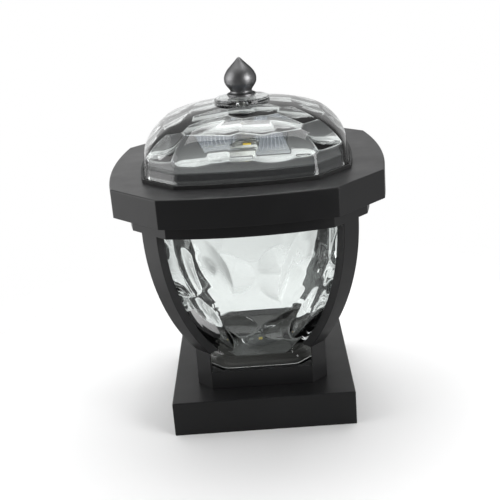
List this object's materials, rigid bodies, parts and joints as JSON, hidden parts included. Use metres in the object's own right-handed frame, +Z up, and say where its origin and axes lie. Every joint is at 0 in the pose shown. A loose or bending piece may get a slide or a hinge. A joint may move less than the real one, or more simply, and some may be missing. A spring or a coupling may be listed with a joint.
{
  "type": "deck post cap light",
  "caption": "Square post cap light: black cast frame with curved ribs round a clear glass bowl, wide octagonal rim, faceted glass dome over a solar panel, and a turned finial.",
  "frame": {"origin": "centre of the base cap's bottom edge, where the outline's box has its bottom centre", "axes": "+Z up through the finial, -Y towards the front, +X to the right seen from the front"},
  "size_m": [0.2208, 0.2208, 0.2937],
  "materials": {
    "black_metal": "satin powder coat on cast aluminium",
    "dark_metal": "satin powder coat",
    "zinc_steel": "zinc plated",
    "clear_glass": "clear pressed glass, polished",
    "clear_lens": "clear moulded acrylic",
    "rubber": "matt",
    "black_plastic": "fine texture",
    "panel_board": "laminate under clear resin",
    "silicon": "dark blue-grey, coated",
    "tinned_strip": "tinned",
    "yellow_led": "phosphor in clear silicone",
    "white_board": "white solder mask",
    "green_board": "solder mask",
    "cell_sleeve": "shrink sleeve",
    "lead_sleeve": "satin"
  },
  "bodies": {
    "light": {"base_cap": "black_metal", "neck_ring": "black_metal", "cage_frame": "black_metal", "head_rim": "black_metal", "head_floor": "black_metal", "finial": "dark_metal", "finial_washer": "rubber", "finial_nut": "zinc_steel", "lock_washer": "zinc_steel", "glass_dome": "clear_glass", "glass_bowl": "clear_glass", "dome_gasket": "rubber", "bowl_gasket": "rubber", "foot_gasket": "rubber", "solar_tray": "black_plastic", "solar_panel": "panel_board", "solar_cells": "silicon", "cell_busbars": "tinned_strip", "light_lens": "clear_lens", "upper_led": "yellow_led", "upper_led_board": "white_board", "lower_led": "yellow_led", "lower_led_board": "white_board", "led_plate": "black_plastic", "battery_box": "black_plastic", "box_cover": "black_plastic", "hinge_pins": "zinc_steel", "battery_cell": "cell_sleeve", "plus_contact": "zinc_steel", "minus_contact": "zinc_steel", "control_board": "green_board", "board_components": "black_plastic", "switch_case": "zinc_steel", "solar_lead": "lead_sleeve", "frame_screws": "zinc_steel", "head_screws": "zinc_steel", "tray_screws": "zinc_steel", "box_screws": "zinc_steel", "cover_screws": "zinc_steel", "board_screws": "zinc_steel", "lower_led_screws": "zinc_steel"},
    "battery_door": {"battery_door": "black_plastic"},
    "switch_knob": {"switch_knob": "black_plastic"}
  },
  "joints": [
    {"name": "door_hinge", "type": "hinge", "parent": "light", "child": "battery_door", "pos_m": [0, -0.0218, 0.0248], "axis": [-1, 0, 0], "range_deg": [0, 90]},
    {"name": "switch_slide", "type": "slide", "parent": "light", "child": "switch_knob", "axis": [1, 0, 0], "range_m": [0, 0.0032]}
  ]
}
